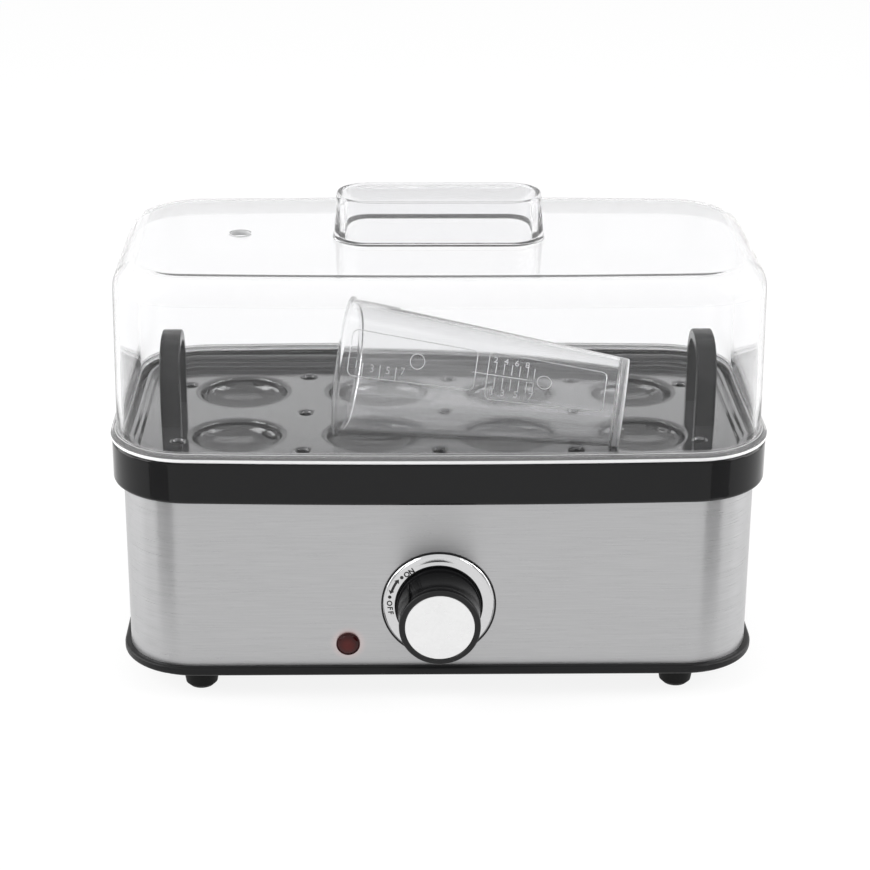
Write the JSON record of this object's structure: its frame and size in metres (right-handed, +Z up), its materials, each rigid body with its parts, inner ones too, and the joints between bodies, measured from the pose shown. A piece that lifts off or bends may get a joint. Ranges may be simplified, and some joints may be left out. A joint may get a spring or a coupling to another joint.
{
  "type": "egg boiler",
  "caption": "Electric steam egg boiler with a stainless housing, rotary switch and lamp, clear lid, egg tray with two grips and a measuring cup inside.",
  "frame": {"origin": "on the table plane, in the middle of the whole object's outline seen from above", "axes": "+Z up, +X along the long side to the right as seen from the dial, -Y towards the dial"},
  "size_m": [0.2528, 0.1479, 0.186],
  "materials": {
    "black_moulding": "matt",
    "black_gloss": "gloss",
    "foot_rubber": "matt",
    "zinc_screws": "satin",
    "brushed_shell": "brushed",
    "silicone": "matt",
    "pan_steel": "satin",
    "heater_aluminium": "satin",
    "element_steel": "satin",
    "dial_chrome": "satin chrome",
    "knob_black": "satin",
    "cap_aluminium": "spun",
    "red_lens": "gloss",
    "bulb_glass": "clear",
    "white_moulding": "matt",
    "brass_screws": "satin",
    "tray_grey": "gloss",
    "handle_black": "gloss",
    "clear_plastic": "clear, polished"
  },
  "bodies": {
    "base": {"base_plate": "black_moulding", "foot_front_left": "foot_rubber", "foot_front_right": "foot_rubber", "foot_rear_left": "foot_rubber", "foot_rear_right": "foot_rubber", "foot_screws": "zinc_screws", "case_screws": "zinc_screws", "housing_shell": "brushed_shell", "top_rim": "black_gloss", "pan_seal": "silicone", "water_pan": "pan_steel", "pan_screws": "zinc_screws", "heat_plate": "heater_aluminium", "heating_element": "element_steel", "element_terminals": "zinc_screws", "element_clamps": "zinc_screws", "clamp_screws": "zinc_screws", "thermostat": "heater_aluminium", "thermostat_screws": "zinc_screws", "thermal_fuse": "heater_aluminium", "fuse_clip": "zinc_screws", "dial_bezel": "dial_chrome", "switch_body": "black_moulding", "switch_nut": "zinc_screws", "lamp_lens": "red_lens", "lamp_holder": "black_moulding", "neon_bulb": "bulb_glass", "terminal_block": "white_moulding", "terminal_screws": "brass_screws", "cord_gland": "black_moulding", "gland_nut": "black_moulding"},
    "knob": {"knob_body": "knob_black", "knob_cap": "cap_aluminium", "switch_shaft": "zinc_screws"},
    "lid": {"clear_lid": "clear_plastic"},
    "tray": {"egg_tray": "tray_grey", "tray_handle_left": "handle_black", "tray_handle_right": "handle_black"},
    "cup": {"measuring_cup": "clear_plastic"}
  },
  "joints": [
    {"name": "knob_turn", "type": "hinge", "parent": "base", "child": "knob", "pos_m": [-0.0006, -0.06, 0.0394], "axis": [0, 1, 0], "range_deg": [-28, 0]},
    {"name": "lid_lift", "type": "slide", "parent": "base", "child": "lid", "axis": [0, 0, 1], "range_m": [0, 0.25]},
    {"name": "tray_lift", "type": "slide", "parent": "base", "child": "tray", "axis": [0, 0, 1], "range_m": [0, 0.1]},
    {"name": "cup_lift", "type": "slide", "parent": "tray", "child": "cup", "axis": [0, 0, 1], "range_m": [0, 0.05]}
  ],
  "couplings": [
    {"joint": "tray_lift", "follows": "lid_lift", "ratio": 0.4},
    {"joint": "cup_lift", "follows": "lid_lift", "ratio": 0.2}
  ]
}
